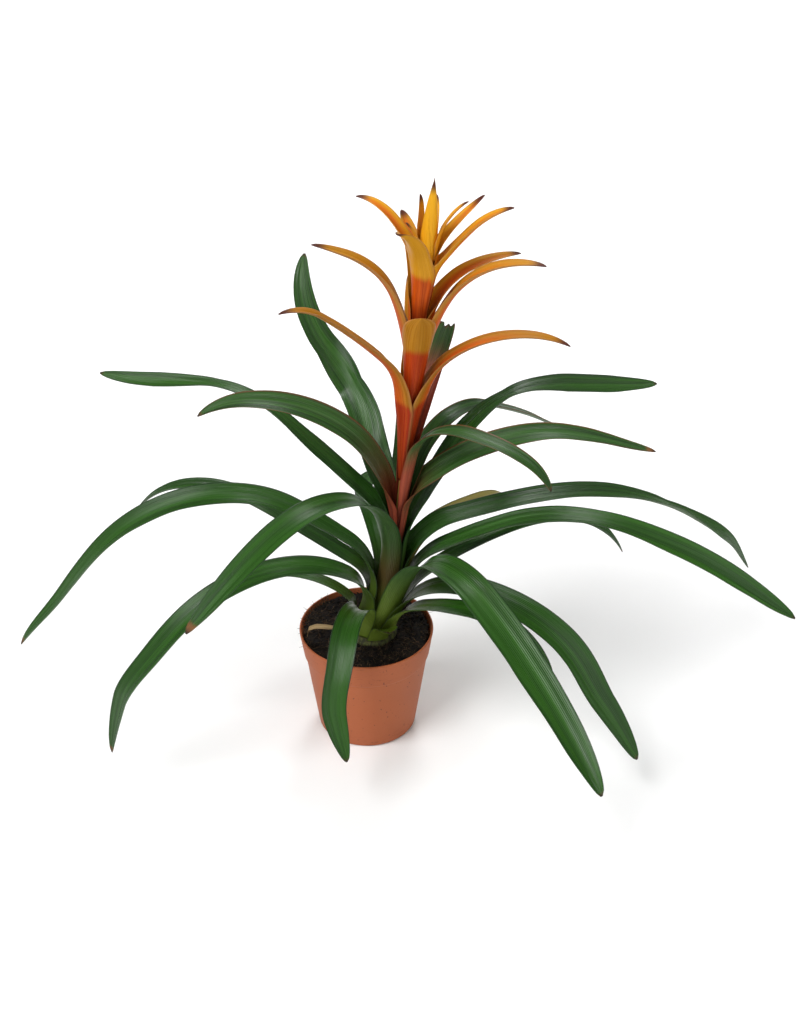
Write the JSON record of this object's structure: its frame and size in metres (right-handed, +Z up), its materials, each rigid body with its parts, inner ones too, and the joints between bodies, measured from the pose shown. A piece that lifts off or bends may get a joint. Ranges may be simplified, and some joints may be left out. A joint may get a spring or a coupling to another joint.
{
  "type": "potted bromeliad",
  "caption": "Flowering bromeliad with arching strap leaves and an upright orange bract spike, growing in a round tapered plastic nursery pot.",
  "frame": {"origin": "centre of the underside of the pot, on the surface it stands on", "axes": "+Z up along the axis of the pot; +X along the widest spread of the leaves, the way the flower head leans; +Y away from the side the plant is seen from"},
  "size_m": [0.6673, 0.4804, 0.5303],
  "materials": {
    "pot_plastic": "terracotta-coloured matte moulded plastic",
    "potting_mix": null,
    "rootstock": "pale fibrous base of the plant",
    "flower_stem": "firm green stalk",
    "bud": "waxy yellow-orange closed bud",
    "leaf_blade": "glossy dark green leaf with fine lengthwise veins",
    "stem_leaf_blade": "glossy leaf, maroon-red at the sheath and green further out",
    "bract": "waxy bract, red at the sheath and golden orange further out",
    "dry_leaf": "dry straw-coloured withered leaf"
  },
  "bodies": {
    "root": {"pot": "pot_plastic", "potting_mix": "potting_mix", "rootstock": "rootstock", "flower_stem": "flower_stem", "bud": "bud", "leaf_01": "leaf_blade", "leaf_02": "leaf_blade", "leaf_03": "leaf_blade", "leaf_04": "leaf_blade", "leaf_05": "leaf_blade", "leaf_06": "leaf_blade", "leaf_07": "leaf_blade", "leaf_08": "leaf_blade", "leaf_09": "leaf_blade", "leaf_10": "leaf_blade", "leaf_11": "leaf_blade", "leaf_12": "leaf_blade", "leaf_13": "leaf_blade", "leaf_14": "leaf_blade", "leaf_15": "leaf_blade", "leaf_16": "leaf_blade", "leaf_17": "leaf_blade", "leaf_18": "leaf_blade", "leaf_19": "leaf_blade", "stem_leaf_01": "stem_leaf_blade", "stem_leaf_02": "stem_leaf_blade", "stem_leaf_03": "stem_leaf_blade", "stem_leaf_04": "stem_leaf_blade", "stem_leaf_05": "stem_leaf_blade", "bract_01": "bract", "bract_02": "bract", "bract_03": "bract", "bract_04": "bract", "bract_05": "bract", "bract_06": "bract", "bract_07": "bract", "bract_08": "bract", "bract_09": "bract", "bract_10": "bract", "bract_11": "bract", "bract_12": "bract", "bract_13": "bract", "bract_14": "bract", "bract_15": "bract", "bract_16": "bract", "withered_strip": "dry_leaf"}
  },
  "joints": []
}
